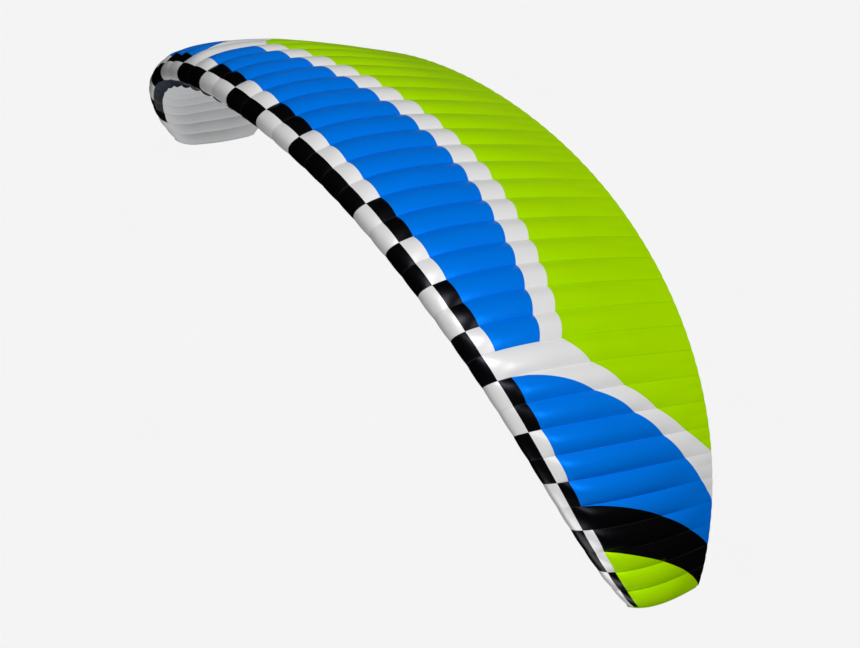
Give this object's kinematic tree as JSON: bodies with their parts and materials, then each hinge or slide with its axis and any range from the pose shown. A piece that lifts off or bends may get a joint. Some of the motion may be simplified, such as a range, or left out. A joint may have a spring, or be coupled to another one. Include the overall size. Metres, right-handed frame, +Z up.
{
  "type": "paraglider wing",
  "caption": "Inflated cloth wing of air-filled cells side by side along an arch, each open under the nose and closed at the tail.",
  "frame": {"origin": "on the underside of the middle rib, three tenths of its chord behind the nose, where the suspension lines pull", "axes": "+X along the span, +Y from the leading edge to the trailing edge, +Z up"},
  "size_m": [8.1186, 3.2286, 2.8311],
  "materials": {
    "blue_cloth": "coated ripstop, satin",
    "lime_cloth": "coated ripstop, satin",
    "white_cloth": "coated ripstop, satin",
    "black_cloth": "coated ripstop, satin",
    "grey_cloth": "coated ripstop, satin"
  },
  "bodies": {
    "root": {"top_panel_01": "lime_cloth", "top_panel_02": "lime_cloth", "top_panel_03": "black_cloth", "top_panel_04": "black_cloth", "top_panel_05": "blue_cloth", "top_panel_06": "blue_cloth", "top_panel_07": "blue_cloth", "top_panel_08": "blue_cloth", "top_panel_09": "blue_cloth", "top_panel_10": "blue_cloth", "top_panel_11": "blue_cloth", "top_panel_12": "blue_cloth", "top_panel_13": "blue_cloth", "top_panel_14": "blue_cloth", "top_panel_15": "blue_cloth", "top_panel_16": "blue_cloth", "top_panel_17": "blue_cloth", "top_panel_18": "blue_cloth", "top_panel_19": "blue_cloth", "top_panel_20": "blue_cloth", "top_panel_21": "blue_cloth", "top_panel_22": "blue_cloth", "top_panel_23": "blue_cloth", "top_panel_24": "blue_cloth", "top_panel_25": "blue_cloth", "top_panel_26": "blue_cloth", "top_panel_27": "blue_cloth", "top_panel_28": "blue_cloth", "top_panel_29": "blue_cloth", "top_panel_30": "blue_cloth", "top_panel_31": "blue_cloth", "top_panel_32": "blue_cloth", "top_panel_33": "blue_cloth", "top_panel_34": "blue_cloth", "top_panel_35": "blue_cloth", "top_panel_36": "blue_cloth", "top_panel_37": "black_cloth", "top_panel_38": "black_cloth", "top_panel_39": "lime_cloth", "top_panel_40": "lime_cloth", "tip_cap_right": "lime_cloth", "tip_cap_left": "lime_cloth", "lower_section_01": "grey_cloth", "lower_section_02": "grey_cloth", "lower_section_03": "grey_cloth", "lower_section_04": "grey_cloth", "lower_section_05": "grey_cloth", "lower_section_06": "grey_cloth", "lower_section_07": "grey_cloth", "lower_section_08": "grey_cloth", "lower_section_09": "grey_cloth", "lower_section_10": "grey_cloth", "lower_section_11": "grey_cloth", "lower_section_12": "grey_cloth", "lower_section_13": "grey_cloth", "lower_section_14": "grey_cloth", "lower_section_15": "grey_cloth", "lower_section_16": "grey_cloth", "middle_rib": "grey_cloth"}
  },
  "joints": []
}
